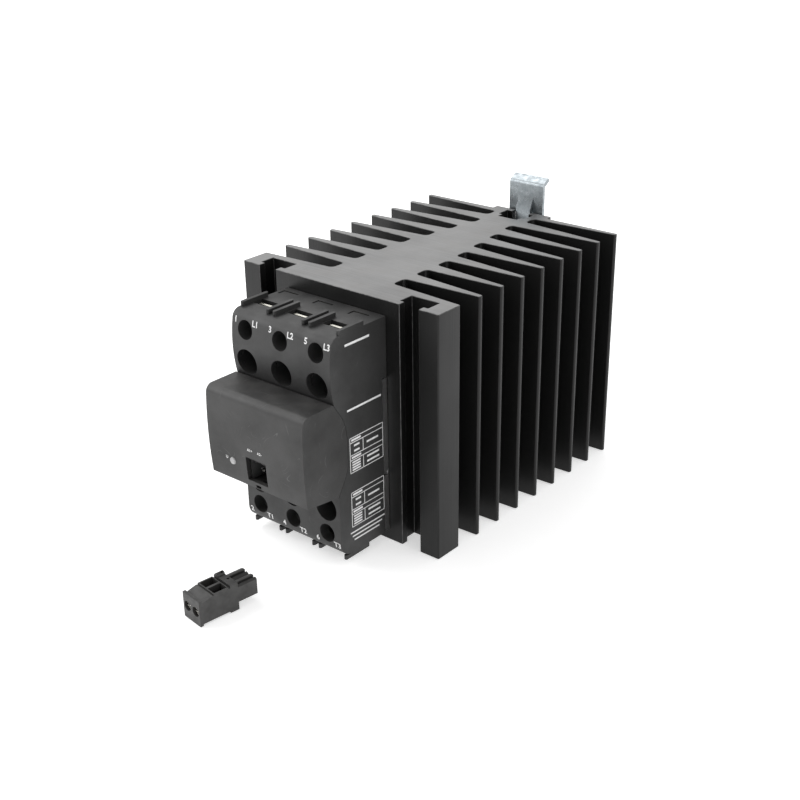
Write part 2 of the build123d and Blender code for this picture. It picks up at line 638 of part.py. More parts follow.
with BuildPart() as plug_housing:
    with BuildSketch(Plane.YZ.offset(-plug_width)):
        with BuildLine():
            Polyline((plug_front, 0), (plug_front, plug_face_top), (0.5, plug_face_top), (0.7, 9.3),
                     (5.2, 10.5),
                     (5.2, 10.3), (5.7, 10.3), (5.7, plug_deck), (12.0, plug_deck), (12.0, 10.2),
                     (12.7, 10.2), (12.7, plug_flange), (plug_length, plug_flange), (plug_length, 0),
                     (12.4, 0), (11.8, 0.7), (0.8, 0.7), (0.5, 0), close=True)
        make_face()
    extrude(amount=plug_width)
    # Insertion part with the arched top that fits the socket
    middle_x = -plug_width / 2
    with BuildSketch(Plane(origin=(middle_x, plug_length, 0), x_dir=(-1, 0, 0), z_dir=(0, 1, 0))):
        arched_opening(4.95, insertion_low, arch_radius - 0.2, arch_x,
                       insertion_low + arch_z - socket_low - 0.1)
    extrude(amount=8.4)
    for x in plug_pole_x:
        # Groove along each hump of the insertion part
        block((x + 0.3, x + 1.4), (plug_length + 0.8, plug_length + 9), (plug_hump - 1.1, plug_hump + 1),
              Mode.SUBTRACT)
    # Latch bump on the left with a small hole, a second hole on the right, coding nose underneath
    with Locations((-plug_width + 1.5, 14.3, plug_flange)):
        Cylinder(1.1, 3.2, rotation=(90, 0, 0))
    for x in (-plug_width + 1.7, -plug_width / 2 + 0.6):
        with Locations((x, 15.0, plug_flange + 0.6)):
            Cylinder(0.55, 2.2, mode=Mode.SUBTRACT)
    block((middle_x - 1.0, middle_x + 1.0), (plug_length - 0.5, plug_length + 1.2), (2.2, 3.1))
    for x in plug_pole_x:
        # Screw hole and head pocket, clamp chamber open to the top, contact chamber
        with Locations((x, 1.0, plug_screw_z)):
            Cylinder(1.95, 4.0, rotation=(90, 0, 0), mode=Mode.SUBTRACT)
        with Locations((x, 3.2, plug_screw_z)):
            Cylinder(1.52, 2.0, rotation=(90, 0, 0), mode=Mode.SUBTRACT)
        block((x - 2.15, x + 2.15), (3.6, 12.3), (1.6, 8.3), Mode.SUBTRACT)
        block((x - 2.0, x + 2.0), (6.2, 11.6), (8.0, 14.0), Mode.SUBTRACT)
        block((x - 1.5, x + 1.5), (12.0, plug_length + 9), (insertion_low + 0.6, insertion_low + 3.8),
              Mode.SUBTRACT)
        block((x - 1.5, x + 1.5), (12.0, 13.6), (1.6, insertion_low + 3.8), Mode.SUBTRACT)
place_plug(plug_housing, "plug_housing")

with BuildPart() as plug_contacts:
    for x in plug_pole_x:
        block((x - 1.2, x + 1.2), (6.5, 7.1), (1.9, 7.9))
        block((x - 1.2, x + 1.2), (6.5, 13.2), (1.9, 2.4))
        block((x - 1.2, x + 1.2), (12.7, 13.2), (1.9, insertion_low + 3.6))
        block((x - 1.3, x + 1.3), (13.2, 22.5), (insertion_low + 0.8, insertion_low + 3.6))
        block((x - 0.9, x + 0.9), (14.0, 23.0), (insertion_low + 1.2, insertion_low + 3.2), Mode.SUBTRACT)
place_plug(plug_contacts, "plug_contacts")

for number, x in enumerate(plug_pole_x, start=1):
    with BuildPart() as plug_screw:
        with Locations((x, 1.4, plug_screw_z)):
            Cylinder(1.6, 2.4, rotation=(90, 0, 0))
        with Locations((x, 4.45, plug_screw_z)):
            Cylinder(1.45, 3.7, rotation=(90, 0, 0))
        block((x - 2, x + 2), (0.0, 1.1), (plug_screw_z - 0.3, plug_screw_z + 0.3), Mode.SUBTRACT)
    place_plug(plug_screw, f"plug_screw_{number}")

    with BuildPart() as plug_cage:
        block((x - 1.85, x + 1.85), (5.2, 11.9), (plug_screw_z - 2.4, plug_screw_z + 2.4))
        block((x - 1.5, x + 1.5), (6.3, 11.2), (0, 10), Mode.SUBTRACT)
        with Locations((x, 5.5, plug_screw_z)):
            Cylinder(1.5, 3.0, rotation=(90, 0, 0), mode=Mode.SUBTRACT)
    place_plug(plug_cage, f"plug_cage_{number}")
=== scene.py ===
# %% [markdown]
# # A three-pole solid state relay on its heat sink
# A black plastic relay is screwed to the front of a black anodised extrusion. A zinc-plated clip at
# the back holds the whole unit on a mounting rail, and the two-pole control plug lies in front.
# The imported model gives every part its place. What follows gives the parts rounded edges, finishes,
# printed marks and light.

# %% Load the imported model
import json
import math

import bmesh
import bpy
import numpy as np
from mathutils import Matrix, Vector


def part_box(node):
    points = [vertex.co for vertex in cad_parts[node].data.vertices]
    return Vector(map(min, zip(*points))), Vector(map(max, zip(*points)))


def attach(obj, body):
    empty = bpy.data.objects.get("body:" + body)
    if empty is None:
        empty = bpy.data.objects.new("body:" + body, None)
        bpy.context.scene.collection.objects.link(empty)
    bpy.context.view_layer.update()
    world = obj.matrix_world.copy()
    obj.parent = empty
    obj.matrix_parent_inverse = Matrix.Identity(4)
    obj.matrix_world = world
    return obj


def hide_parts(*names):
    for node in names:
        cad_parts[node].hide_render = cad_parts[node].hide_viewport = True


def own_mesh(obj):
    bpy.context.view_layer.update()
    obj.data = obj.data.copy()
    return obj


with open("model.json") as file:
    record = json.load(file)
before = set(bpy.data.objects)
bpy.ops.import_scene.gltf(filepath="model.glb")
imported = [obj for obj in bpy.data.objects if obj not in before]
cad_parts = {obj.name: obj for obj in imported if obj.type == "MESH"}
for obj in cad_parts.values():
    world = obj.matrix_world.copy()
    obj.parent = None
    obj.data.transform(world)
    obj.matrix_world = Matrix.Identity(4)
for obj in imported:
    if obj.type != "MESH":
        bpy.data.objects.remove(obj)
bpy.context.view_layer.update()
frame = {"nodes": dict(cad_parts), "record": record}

# %% [markdown]
# ## Lengths
# The drawings of such a unit are in millimetres and Blender works in metres, so lengths are written
# in millimetres times `MM`. The mounting pad is the plane behind the relay, and depths count forwards
# from it.

# %% Lengths and the faces that carry print
MM = 0.001
PAD_Y = -61.25
POLE_X = (-17.8, 0.0, 17.8)
SIDE_X = 24.75
HOUSING_FLAT, COVER_FLAT = 28.2, 45.0


def circle_through(a, b, c):
    """Centre and radius of the circle through three points, where the perpendicular bisectors meet."""
    a, b, c = (np.array(p, float) for p in (a, b, c))
    rows = 2 * np.array([b - a, c - a])
    right = np.array([b @ b - a @ a, c @ c - a @ a])
    centre = np.linalg.solve(rows, right)
    return centre, float(np.linalg.norm(a - centre))


# Each curved stretch of a front: its lowest and highest height, then three (depth, height) points
HOUSING_ARCS = [((4.5, 10.5), (28.1, 10.5), (26.34, 6.26), (22.1, 4.5)),
                ((68.4, 90.3), (29.2, 68.4), (30.6, 80.0), (29.8, 90.3)),
                ((90.3, 94.1), (29.8, 90.3), (28.7, 92.9), (25.6, 94.1))]
COVER_ARC = [((31.0, 69.0), (44.8, 31.0), (45.9, 51.0), (45.2, 69.0))]


def front_depth(z, arcs, flat):
    """Depth of the front at height z: on an arc, centre depth plus root of radius squared minus the
    squared height above the centre, and elsewhere the flat value."""
    depth = np.full_like(z, flat)
    for (low, high), *points in arcs:
        centre, radius = circle_through(*points)
        inside = (z >= low) & (z <= high)
        rise = np.clip(radius ** 2 - (z - centre[1]) ** 2, 0, None)
        depth = np.where(inside, centre[0] + np.sqrt(rise), depth)
    return depth


print("front at the upper marks, mm:", front_depth(np.array([90.6]), HOUSING_ARCS, HOUSING_FLAT))

# %% [markdown]
# ## Nodes with less typing
# A material is a small network. `put` adds one node and either links or sets each of its inputs, so a
# finish reads as a list of what it is made of.


# %% A helper for shader nodes
def put(tree, kind, inputs=(), **settings):
    """Adds a shader node. An input given as a socket is linked, any other value is set."""
    made = tree.nodes.new("ShaderNode" + kind)
    for key, value in settings.items():
        setattr(made, key, value)
    for key, value in dict(inputs).items():
        if isinstance(value, bpy.types.NodeSocket):
            tree.links.new(value, made.inputs[key])
        else:
            made.inputs[key].default_value = value
    return made


def math_node(tree, operation, first, second=0.0):
    """One Math node's result."""
    return put(tree, "Math", {0: first, 1: second}, operation=operation).outputs[0]


def remap(tree, value, low, high, to_low=0.0, to_high=1.0):
    """The value stretched so that low..high becomes to_low..to_high, with both ends held."""
    made = put(tree, "MapRange", {0: value, 1: low, 2: high, 3: to_low, 4: to_high})
    return made.outputs[0]


def blend_colour(tree, factor, first, second):
    """Colour that goes from first to second as the factor goes from 0 to 1."""
    made = put(tree, "Mix", {0: factor, 6: first, 7: second}, data_type="RGBA")
    return made.outputs[2]


def new_group(name, inputs, outputs):
    """An empty shader node group. Inputs called Vector, Normal or Stretch are vectors, all other
    sockets are floats."""
    group = bpy.data.node_groups.new(name, "ShaderNodeTree")
    for label in inputs:
        kind = "NodeSocketVector" if label in ("Vector", "Normal", "Stretch") else "NodeSocketFloat"
        group.interface.new_socket(name=label, in_out="INPUT", socket_type=kind)
    for label in outputs:
        group.interface.new_socket(name=label, in_out="OUTPUT", socket_type="NodeSocketFloat")
    return group, group.nodes.new("NodeGroupInput"), group.nodes.new("NodeGroupOutput")


print("node helpers ready")

# %% [markdown]
# ## Effects that several finishes share
# Moulded plastic, anodised metal and plating all have the same kinds of unevenness at different
# sizes: a fine grain, a slow change of tone, lines drawn out in one direction, curved rub marks and a
# little dust on whatever faces up. Each is one node group, placed in a finish with its own values.

# %% Grain: fine skin plus slow mottling
grain_group, enter, leave = new_group("skin_grain", ("Vector", "Fine scale", "Slow scale"),
                                      ("Fine", "Slow"))
fine = put(grain_group, "TexNoise", {"Vector": enter.outputs["Vector"],
                                     "Scale": enter.outputs["Fine scale"],
                                     "Detail": 3.0, "Roughness": 0.6})
slow = put(grain_group, "TexNoise", {"Vector": enter.outputs["Vector"],
                                     "Scale": enter.outputs["Slow scale"],
                                     "Detail": 5.0, "Roughness": 0.55})
grain_group.links.new(fine.outputs[0], leave.inputs["Fine"])
grain_group.links.new(remap(grain_group, slow.outputs[0], 0.3, 0.7), leave.inputs["Slow"])
print("skin_grain:", len(grain_group.nodes), "nodes")

# %% Drawn lines: noise stretched along one direction
line_group, enter, leave = new_group("drawn_lines", ("Vector", "Stretch"), ("Lines",))
stretched = put(line_group, "VectorMath", {0: enter.outputs["Vector"], 1: enter.outputs["Stretch"]},
                operation="MULTIPLY")
lines = put(line_group, "TexNoise", {"Vector": stretched.outputs[0], "Scale": 1.0, "Detail": 6.0,
                                     "Roughness": 0.65})
line_group.links.new(remap(line_group, lines.outputs[0], 0.3, 0.7), leave.inputs["Lines"])
print("drawn_lines:", len(line_group.nodes), "nodes")

# %% Rub marks: thin contour lines of a slow noise, broken up by another
CONTOURS, PATCH_SCALE, PATCH_FADE = 22.0, 170.0, 0.12
rub_group, enter, leave = new_group("rub_marks", ("Vector", "Scale", "Width", "Cover"), ("Marks",))
swirl = put(rub_group, "TexNoise", {"Vector": enter.outputs["Vector"],
                                    "Scale": enter.outputs["Scale"],
                                    "Detail": 1.5, "Distortion": 1.2})
bands = math_node(rub_group, "FRACT",
                  math_node(rub_group, "MULTIPLY", swirl.outputs[0], CONTOURS))
away = math_node(rub_group, "ABSOLUTE", math_node(rub_group, "SUBTRACT", bands, 0.5))
thin = math_node(rub_group, "LESS_THAN", away, enter.outputs["Width"])
patch = put(rub_group, "TexNoise", {"Vector": enter.outputs["Vector"], "Scale": PATCH_SCALE,
                                    "Detail": 2.0})
limit = math_node(rub_group, "SUBTRACT", 1.0, enter.outputs["Cover"])
over_limit = math_node(rub_group, "SUBTRACT", patch.outputs[0], limit)
broken = remap(rub_group, over_limit, 0.0, PATCH_FADE)
rub_group.links.new(math_node(rub_group, "MULTIPLY", thin, broken), leave.inputs["Marks"])
print("rub_marks:", len(rub_group.nodes), "nodes")

# %% Dust: settles on faces that look up, in patches and specks
dust_group, enter, leave = new_group("settled_dust", ("Vector", "Normal", "Amount"), ("Dust",))
upward = put(dust_group, "SeparateXYZ", {0: enter.outputs["Normal"]}).outputs[2]
patches = put(dust_group, "TexNoise", {"Vector": enter.outputs["Vector"], "Scale": 90.0,
                                       "Detail": 6.0})
facing_up = remap(dust_group, upward, 0.35, 1.0)
patchy = remap(dust_group, patches.outputs[0], 0.42, 0.72)
settled = math_node(dust_group, "MULTIPLY", facing_up, patchy)
dust_group.links.new(math_node(dust_group, "MULTIPLY", settled, enter.outputs["Amount"]),
                     leave.inputs["Dust"])
print("groups:", [g.name for g in bpy.data.node_groups])

# %% [markdown]
# ## One recipe for a finish
# Every finish runs through the same steps: a deep and a light tone mixed by the slow mottling and the
# drawn lines, rub marks and dust on top, a roughness that varies with them, and a bump from the fine
# grain. What makes plastic differ from zinc is the values, and those are given finish by finish.


# %% The recipe
DUST_TONE = (0.30, 0.29, 0.28, 1.0)
RUB_POLISH, DUST_DULLING = -0.12, 0.3


def finish(name, deep, light, rough, metallic=0.0, grain=(5200.0, 0.012), slow=140.0, spread=0.08,
           stretch=None, line_bump=0.0, line_tone=0.5, rubs=None, rub_tone=None, dust=0.0,
           specular=0.5, coat=0.0):
    """A Principled material. grain is (scale per metre, bump height in mm), slow the scale of the
    mottling, and spread how far the roughness goes either way. stretch is the scale of the drawn
    lines along X, Y and Z, and rubs is (scale, width, cover). Tones are linear RGB."""
    made = bpy.data.materials.new(name)
    made.use_nodes = True
    tree = made.node_tree
    tree.nodes.clear()
    place = put(tree, "TexCoord")
    where, normal = place.outputs["Object"], place.outputs["Normal"]
    skin = put(tree, "Group", node_tree=grain_group)
    tree.links.new(where, skin.inputs["Vector"])
    skin.inputs["Fine scale"].default_value = grain[0]
    skin.inputs["Slow scale"].default_value = slow
    tone, height = skin.outputs["Slow"], skin.outputs["Fine"]
    relief = math_node(tree, "MULTIPLY", height, grain[1])
    if stretch:
        drawn = put(tree, "Group", node_tree=line_group)
        tree.links.new(where, drawn.inputs["Vector"])
        drawn.inputs["Stretch"].default_value = stretch
        drawn_lines = drawn.outputs["Lines"]
        tone = put(tree, "Mix", {0: line_tone, 2: tone, 3: drawn_lines}).outputs[0]
        line_height = math_node(tree, "MULTIPLY", drawn_lines, line_bump)
        relief = math_node(tree, "ADD", relief, line_height)
    colour = blend_colour(tree, tone, (*deep, 1.0), (*light, 1.0))
    roughness = remap(tree, tone, 0.0, 1.0, rough + spread, rough - spread)
    if rubs:
        marks = put(tree, "Group", node_tree=rub_group)
        tree.links.new(where, marks.inputs["Vector"])
        for label, value in zip(("Scale", "Width", "Cover"), rubs):
            marks.inputs[label].default_value = value
        colour = blend_colour(tree, marks.outputs[0], colour, (*(rub_tone or light), 1.0))
        roughness = math_node(tree, "ADD", roughness,
                              math_node(tree, "MULTIPLY", marks.outputs[0], RUB_POLISH))
    if dust:
        film = put(tree, "Group", node_tree=dust_group)
        tree.links.new(where, film.inputs["Vector"])
        tree.links.new(normal, film.inputs["Normal"])
        film.inputs["Amount"].default_value = dust
        colour = blend_colour(tree, film.outputs[0], colour, DUST_TONE)
        roughness = math_node(tree, "ADD", roughness,
                              math_node(tree, "MULTIPLY", film.outputs[0], DUST_DULLING))
    bump = put(tree, "Bump", {"Height": relief, "Distance": MM, "Strength": 1.0})
    shader = put(tree, "BsdfPrincipled", {"Base Color": colour, "Roughness": roughness,
                                          "Metallic": metallic, "Normal": bump.outputs[0]})
    shader.inputs["Specular IOR Level"].default_value = specular
    shader.inputs["Coat Weight"].default_value = coat
    put(tree, "OutputMaterial", {"Surface": shader.outputs[0]})
    return made


def grey(value, warmth=0.0):
    """A grey tone, a touch warmer where warmth is above zero."""
    return (value * (1 + warmth), value, value * (1 - warmth))


print("recipe ready")


# %% [markdown]
# ## Black anodised aluminium
# The profile is pushed through a die, which leaves faint lines along its length, and then anodised
# black. The ends are sawn across and come out paler and duller, with fine saw lines. The edges get a
# paler, more metallic finish than the faces, which is a painted highlight along every edge.

# %% Finishes of the heat sink
extruded = finish("anodised_extruded", grey(0.004), grey(0.008, 0.01), 0.40,
                  grain=(3500.0, 0.004), slow=60.0, stretch=(1500.0, 1500.0, 14.0),
                  line_bump=0.006, line_tone=0.6, specular=0.31, dust=0.05)
sawn = finish("anodised_sawn", grey(0.17), grey(0.27), 0.46, metallic=0.85, grain=(4200.0, 0.006),
              slow=34.0, stretch=(26.0, 1900.0, 1.0), line_bump=0.010, line_tone=0.45,
              spread=0.06, dust=0.25)
# Painted highlight: the bevel faces are much paler and more metallic than the anodised faces, so every
# edge shows a bright line.
painted_edge_highlight = finish("anodised_edge_highlight", grey(0.05), grey(0.13), 0.34, metallic=0.6, slow=420.0,
                   grain=(5200.0, 0.004))
print("heat sink:", extruded.name, sawn.name, painted_edge_highlight.name)

# %% [markdown]
# ## Moulded black plastic
# The housing and cover are glass-filled nylon with a fine spark-eroded skin. They look dark grey,
# because the skin scatters light, and handling leaves faint curved rub marks on the cover.

# %% Plastics
housing_plastic = finish("housing_plastic", grey(0.013, 0.01), grey(0.028), 0.55,
                         grain=(4200.0, 0.022), slow=70.0, rubs=(26.0, 0.03, 0.36),
                         rub_tone=grey(0.046), dust=0.10)
cover_plastic = finish("cover_plastic", grey(0.013, 0.02), grey(0.032, 0.01), 0.52,
                       grain=(4200.0, 0.020), slow=55.0, rubs=(30.0, 0.035, 0.44),
                       rub_tone=grey(0.054), dust=0.12)
header_plastic = finish("header_plastic", grey(0.055), grey(0.085), 0.45, grain=(5200.0, 0.008))
plug_plastic = finish("plug_plastic", grey(0.020, 0.03), grey(0.036, 0.02), 0.50,
                      grain=(5200.0, 0.016), slow=260.0, rubs=(90.0, 0.03, 0.3),
                      rub_tone=grey(0.065))
chip_plastic = finish("chip_plastic", grey(0.010), grey(0.018), 0.6, grain=(7000.0, 0.01))
lens_plastic = finish("lens_plastic", grey(0.30), grey(0.42), 0.32, grain=(3000.0, 0.01),
                      slow=500.0, coat=0.2)
led_epoxy = finish("led_epoxy", (0.02, 0.24, 0.05), (0.04, 0.36, 0.08), 0.2, slow=400.0)
print(len(bpy.data.materials), "materials with the plastics")

# %% [markdown]
# ## Plated and bare metals
# Zinc plating is bluish and slightly mottled, nickel on the terminal screws is brighter and warmer,
# and turned screws carry fine rings. Parts that are never touched keep their drawn or rolled lines.

# %% Metals
zinc = finish("zinc_plate", (0.20, 0.225, 0.24), (0.42, 0.455, 0.475), 0.31, metallic=0.9,
              grain=(2600.0, 0.006), slow=520.0, spread=0.12, stretch=(900.0, 700.0, 160.0),
              line_tone=0.3, line_bump=0.003, rubs=(120.0, 0.03, 0.3), rub_tone=(0.5, 0.53, 0.56))
nickel = finish("nickel_plate", (0.42, 0.40, 0.36), (0.78, 0.76, 0.70), 0.27, metallic=1.0,
                grain=(2600.0, 0.006), slow=700.0, spread=0.1, rubs=(260.0, 0.09, 0.45),
                rub_tone=(0.2, 0.19, 0.17))
cage_steel = finish("cage_steel", (0.45, 0.44, 0.38), (0.80, 0.78, 0.70), 0.24, metallic=1.0,
                    slow=500.0, spread=0.1, stretch=(300.0, 2400.0, 300.0), line_bump=0.004)
dark_steel = finish("dark_steel", grey(0.10), grey(0.2), 0.42, metallic=1.0, slow=300.0)
spring_steel = finish("spring_steel", grey(0.30), grey(0.5), 0.28, metallic=1.0, slow=600.0)
blackened = finish("blackened_steel", grey(0.012), grey(0.03), 0.40, metallic=0.7, slow=420.0,
                   rubs=(200.0, 0.06, 0.4), rub_tone=grey(0.12))
plate_metal = finish("base_aluminium", grey(0.34), grey(0.5), 0.36, metallic=1.0, slow=120.0,
                     stretch=(1600.0, 24.0, 24.0), line_bump=0.006)
copper = finish("bare_copper", (0.52, 0.22, 0.12), (0.80, 0.38, 0.24), 0.33, metallic=1.0,
                slow=260.0)
tinned = finish("tinned_copper", (0.50, 0.49, 0.46), (0.74, 0.73, 0.70), 0.34, metallic=1.0,
                slow=320.0, stretch=(40.0, 40.0, 1500.0), line_bump=0.003)
tin = finish("tin_plate", (0.55, 0.54, 0.50), (0.82, 0.81, 0.77), 0.22, metallic=1.0, slow=700.0)
print(len(bpy.data.materials), "materials with the metals")

# %% Ceramics, laminate, silicon and the pad
board = finish("board_laminate", (0.012, 0.07, 0.03), (0.02, 0.12, 0.05), 0.38, slow=200.0,
               stretch=(1800.0, 1800.0, 1800.0), line_bump=0.006, coat=0.3)
ceramic = finish("part_ceramic", (0.42, 0.33, 0.2), (0.58, 0.47, 0.3), 0.5, slow=300.0)
alumina = finish("alumina", grey(0.62, 0.02), grey(0.78, 0.01), 0.5, slow=200.0)
silicon = finish("silicon", (0.06, 0.065, 0.09), (0.12, 0.13, 0.17), 0.12, slow=160.0)
thermal = finish("thermal_sheet", grey(0.25), grey(0.4), 0.62, slow=200.0, grain=(3600.0, 0.02))
print(len(bpy.data.materials), "materials in all")

# %% [markdown]
# ## Give every CAD part its finish
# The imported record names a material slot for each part, so the finishes go on by slot.

# %% Finishes by slot
FINISHES = {
    "anodised_aluminium": extruded, "zinc_plated_steel": zinc, "dark_steel": dark_steel,
    "spring_steel": spring_steel, "thermal_sheet": thermal, "base_aluminium": plate_metal,
    "blackened_steel": blackened, "housing_plastic": housing_plastic, "cover_plastic": cover_plastic,
    "board_laminate": board, "header_plastic": header_plastic, "tin_plate": tin,
    "led_epoxy": led_epoxy, "lens_plastic": lens_plastic, "chip_plastic": chip_plastic,
    "part_ceramic": ceramic, "alumina": alumina, "bare_copper": copper, "silicon": silicon,
    "tinned_copper": tinned, "cage_steel": cage_steel, "screw_steel": nickel,
    "plug_plastic": plug_plastic,
}
slot_of = {part["node"]: part["material_slot"] for part in frame["record"]["subparts"]}
body_of = {node: body for body, members in frame["record"]["behaviour"]["bodies"].items()
           for node in members}
for node, part in frame["nodes"].items():
    part.data.materials.clear()
    part.data.materials.append(FINISHES[slot_of[node]])
print("finished by slot:", len(slot_of))

# %% [markdown]
# ## Rounded edges
# A real edge is never perfectly sharp: it catches a thin line of light. A copy of a CAD part is
# welded, its flat faces are joined up again, and a narrow bevel rounds whatever bends by more than
# a set angle.


# %% A copy of a CAD part with rounded edges
WELD, FLAT_DEGREES, BEND_DEGREES = 0.002, 0.6, 35.0


def rounded_copy(node, name, width, segments=2):
    """The node's mesh, welded and with its coplanar triangles joined, with a bevel of that width
    in mm. The piece takes the node's body, slot and place."""
    source = frame["nodes"][node]
    mesh = source.data.copy()
    mesh.name = name
    work = bmesh.new()
    work.from_mesh(mesh)
    bmesh.ops.remove_doubles(work, verts=work.verts, dist=WELD * MM)
    bmesh.ops.dissolve_limit(work, angle_limit=math.radians(FLAT_DEGREES), verts=work.verts,
                             edges=work.edges)
    work.to_mesh(mesh)
    work.free()
    if mesh.has_custom_normals:
        bpy.context.view_layer.update()
        mesh.attributes.remove(mesh.attributes["custom_normal"])
    mesh.shade_smooth()
    made = bpy.data.objects.new(name, mesh)
    bpy.context.scene.collection.objects.link(made)
    bevel = made.modifiers.new("rounded edges", "BEVEL")
    bevel.width, bevel.segments = width * MM, segments
    bevel.limit_method, bevel.angle_limit = "ANGLE", math.radians(BEND_DEGREES)
    bevel.harden_normals = True
    bevel.miter_outer = "MITER_ARC"
    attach(made, body_of[node])
    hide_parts(node)
    print(name, len(mesh.polygons), "faces before the bevel")
    return made


# %% [markdown]
# ## The heat sink
# The same extruded piece shows three finishes: the long anodised faces, the two sawn ends, and the
# edges, which are the faces that the bevel makes and carry the painted highlight. A face is an end
# when it looks up or down and lies at the very top or bottom.

# %% Heat sink
# The third material place holds the painted edge highlight.
SAWN_PLACE, HIGHLIGHT_PLACE = 1, 2
END_REACH = 0.1
heat_sink = rounded_copy("heatsink", "heat_sink", 0.22)
sink_mesh = heat_sink.data
sink_mesh.materials.append(sawn)
sink_mesh.materials.append(painted_edge_highlight)
facing = np.empty(3 * len(sink_mesh.polygons))
sink_mesh.polygons.foreach_get("normal", facing)
middle = np.empty(3 * len(sink_mesh.polygons))
sink_mesh.polygons.foreach_get("center", middle)
facing, middle = facing.reshape(-1, 3), middle.reshape(-1, 3)
sink_low, sink_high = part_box("heatsink")
at_bottom = np.abs(middle[:, 2] - sink_low.z) < END_REACH * MM
at_top = np.abs(middle[:, 2] - sink_high.z) < END_REACH * MM
is_end = (np.abs(facing[:, 2]) > 0.9) & (at_bottom | at_top)
sink_mesh.polygons.foreach_set("material_index", SAWN_PLACE * is_end.astype(np.int32))
# The faces that the bevel makes take the painted edge highlight.
heat_sink.modifiers["rounded edges"].material = HIGHLIGHT_PLACE
print("sawn faces:", int(is_end.sum()))

# %% [markdown]
# ## Housing, cover and plug
# The moulded parts have slightly softer edges than cut metal.

# %% Moulded parts
rounded_copy("housing", "relay_housing", 0.22)
rounded_copy("front_cover", "relay_cover", 0.5, segments=3)
rounded_copy("plug_housing", "plug_body", 0.18)

# %% [markdown]
# ## Clip and screws
# The clip is bent from 1.5 mm strip, so its cut edges are only broken. The screws are turned and
# then slotted.

# %% Bent and turned parts
rounded_copy("din_latch", "rail_clip", 0.18)
rounded_copy("din_hook", "rail_hook", 0.18)
for n in range(1, 7):
    rounded_copy(f"clamp_screw_{n}", f"terminal_screw_{n}", 0.12)
for n in (1, 2):
    rounded_copy(f"plug_screw_{n}", f"control_screw_{n}", 0.08)


# %% [markdown]
# ## The latch spring
# A spring is a wire carried along a helix. As a surface it is a grid: one direction runs along the
# helix and the other round the wire.

# %% Grids as meshes
def grid_mesh(name, points, wrap=False, caps=False):
    """A mesh of quads from an array of points (rows, columns, 3). With wrap, the last column meets
    the first. Caps close the first and last row with one face each."""
    rows, columns = points.shape[:2]
    number = np.arange(rows * columns).reshape(rows, columns)
    after = np.roll(number, -1, axis=1) if wrap else number[:, 1:]
    here = number if wrap else number[:, :-1]
    quads = np.stack([here[:-1], after[:-1], after[1:], here[1:]], axis=-1).reshape(-1, 4)
    faces = quads.tolist()
    if caps:
        faces += [number[0, ::-1].tolist(), number[-1].tolist()]
    mesh = bpy.data.meshes.new(name)
    mesh.from_pydata(points.reshape(-1, 3), [], faces)
    return mesh


def add_piece(name, mesh, material, body):
    """Puts a finished mesh into the scene as a piece that rides on a body."""
    mesh.materials.append(material)
    made = bpy.data.objects.new(name, mesh)
    bpy.context.scene.collection.objects.link(made)
    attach(made, body)
    return made


# %% Spring
STEPS_PER_TURN, STEPS_ROUND_WIRE, EASE = 40, 10, 0.055


def spring_points(low, high, turns, radius, wire, centre_y):
    """Points of the wire's skin: the helix's centre line, plus the wire radius times the cosine of
    the angle round the wire along the outward direction, and times its sine along the helix's
    binormal. The height is t - EASE sin(2 pi t) of the way up, so the end coils lie closer."""
    along = np.linspace(0, 1, STEPS_PER_TURN * turns + 1)
    turn = 2 * np.pi * turns * along
    eased = along - EASE * np.sin(2 * np.pi * along)
    height = low + wire + (high - low - 2 * wire) * eased
    outward = np.stack([np.cos(turn), np.sin(turn), 0 * turn], axis=1)
    centre = outward * radius + np.stack([0 * turn, 0 * turn + centre_y, height], axis=1)
    tangent = np.gradient(centre, axis=0)
    tangent /= np.linalg.norm(tangent, axis=1, keepdims=True)
    binormal = np.cross(tangent, outward)
    binormal /= np.linalg.norm(binormal, axis=1, keepdims=True)
    around = np.linspace(0, 2 * np.pi, STEPS_ROUND_WIRE, endpoint=False)
    ring = (outward[:, None] * np.cos(around)[None, :, None]
            + binormal[:, None] * np.sin(around)[None, :, None]) * wire
    return (centre[:, None] + ring) * MM


SPRING_LOW, SPRING_HIGH, LATCH_TRAVEL = 80.0, 92.0, 4.0
SPRING_TURNS, COIL_RADIUS, WIRE_RADIUS, SPRING_Y = 6, 2.1, 0.35, PAD_Y + 113.4
coil = spring_points(SPRING_LOW, SPRING_HIGH, SPRING_TURNS, COIL_RADIUS, WIRE_RADIUS, SPRING_Y)
spring_mesh = grid_mesh("latch_spring_wire", coil, wrap=True, caps=True)
spring_mesh.shade_smooth()
spring = add_piece("latch_spring_wire", spring_mesh, spring_steel, "relay")
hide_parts("latch_spring")
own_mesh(spring)
print("spring faces:", len(spring_mesh.polygons))

# %% [markdown]
# ## Printed marks
# Terminals are numbered in white pad printing: line side 1, 3, 5 with L1 to L3, load side 2, 4, 6
# with T1 to T3, and the control pins A1+ and A2-. Each mark starts as a flat text, is cut into
# narrow strips so that it can bend, and is then laid on the face by the depth formula above.

# %% White ink
ink = finish("print_white", grey(0.62), grey(0.8), 0.55, slow=900.0, grain=(5200.0, 0.01))
INK_STANDS = 0.03
STROKE_SWELL = 0.026


def flat_text(text, size):
    """A text as a mesh around its own middle, in mm, cut every sixth of its height."""
    curve = bpy.data.curves.new("mark", "FONT")
    curve.body, curve.size = text, size
    curve.align_x, curve.align_y = "CENTER", "CENTER"
    curve.resolution_u = 3
    curve.offset = STROKE_SWELL * size
    holder = bpy.data.objects.new("mark", curve)
    bpy.context.scene.collection.objects.link(holder)
    mesh = bpy.data.meshes.new_from_object(holder.evaluated_get(
        bpy.context.evaluated_depsgraph_get()))
    bpy.data.objects.remove(holder)
    work = bmesh.new()
    work.from_mesh(mesh)
    for level in np.linspace(-0.5, 0.5, 7) * size:
        everything = work.verts[:] + work.edges[:] + work.faces[:]
        bmesh.ops.bisect_plane(work, geom=everything, plane_co=(0, level, 0), plane_no=(0, 1, 0))
    work.to_mesh(mesh)
    work.free()
    return mesh


